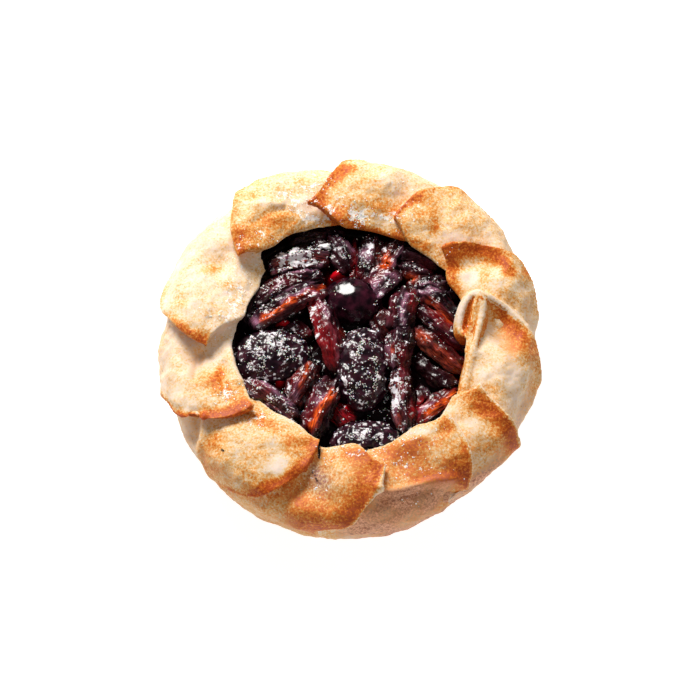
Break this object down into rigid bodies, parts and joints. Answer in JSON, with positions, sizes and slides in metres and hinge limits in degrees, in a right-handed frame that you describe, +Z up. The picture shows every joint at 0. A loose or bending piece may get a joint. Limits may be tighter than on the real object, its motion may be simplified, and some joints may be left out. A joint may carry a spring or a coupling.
{
  "type": "fruit galette",
  "caption": "Round free-form fruit galette: pleated dough rim folded in over an open heap of baked plum slices and small whole plums.",
  "frame": {"origin": "middle of the outline seen from above, on the flat underside", "axes": "+Z up, +Y away from the viewer, +X to the viewer's right"},
  "size_m": [0.1504, 0.1588, 0.0431],
  "materials": {
    "baked_dough": "matt baked pastry, pale with golden-brown edges",
    "plum_slice": "moist baked plum, dusted with sugar",
    "plum_skin": "dark plum skin, dusted with sugar",
    "fruit_juice": "glossy thickened plum juice"
  },
  "bodies": {
    "root": {"crust": "baked_dough", "filling": "fruit_juice", "whole_plum_1": "plum_skin", "whole_plum_2": "plum_skin", "whole_plum_3": "plum_skin", "whole_plum_4": "plum_skin", "plum_slice_1": "plum_slice", "plum_slice_2": "plum_slice", "plum_slice_3": "plum_slice", "plum_slice_4": "plum_slice", "plum_slice_5": "plum_slice", "plum_slice_6": "plum_slice", "plum_slice_7": "plum_slice", "plum_slice_8": "plum_slice", "plum_slice_9": "plum_slice", "plum_slice_10": "plum_slice", "plum_slice_11": "plum_slice", "plum_slice_12": "plum_slice", "plum_slice_13": "plum_slice", "plum_slice_14": "plum_slice", "plum_slice_15": "plum_slice", "plum_slice_16": "plum_slice", "plum_slice_17": "plum_slice", "plum_slice_18": "plum_slice", "plum_slice_19": "plum_slice", "plum_slice_20": "plum_slice", "plum_slice_21": "plum_slice", "plum_slice_22": "plum_slice", "plum_slice_23": "plum_slice", "plum_slice_24": "plum_slice", "plum_slice_25": "plum_slice", "plum_slice_26": "plum_slice", "plum_slice_27": "plum_slice", "plum_slice_28": "plum_slice", "plum_slice_29": "plum_slice", "plum_slice_30": "plum_slice", "plum_slice_31": "plum_slice"}
  },
  "joints": []
}
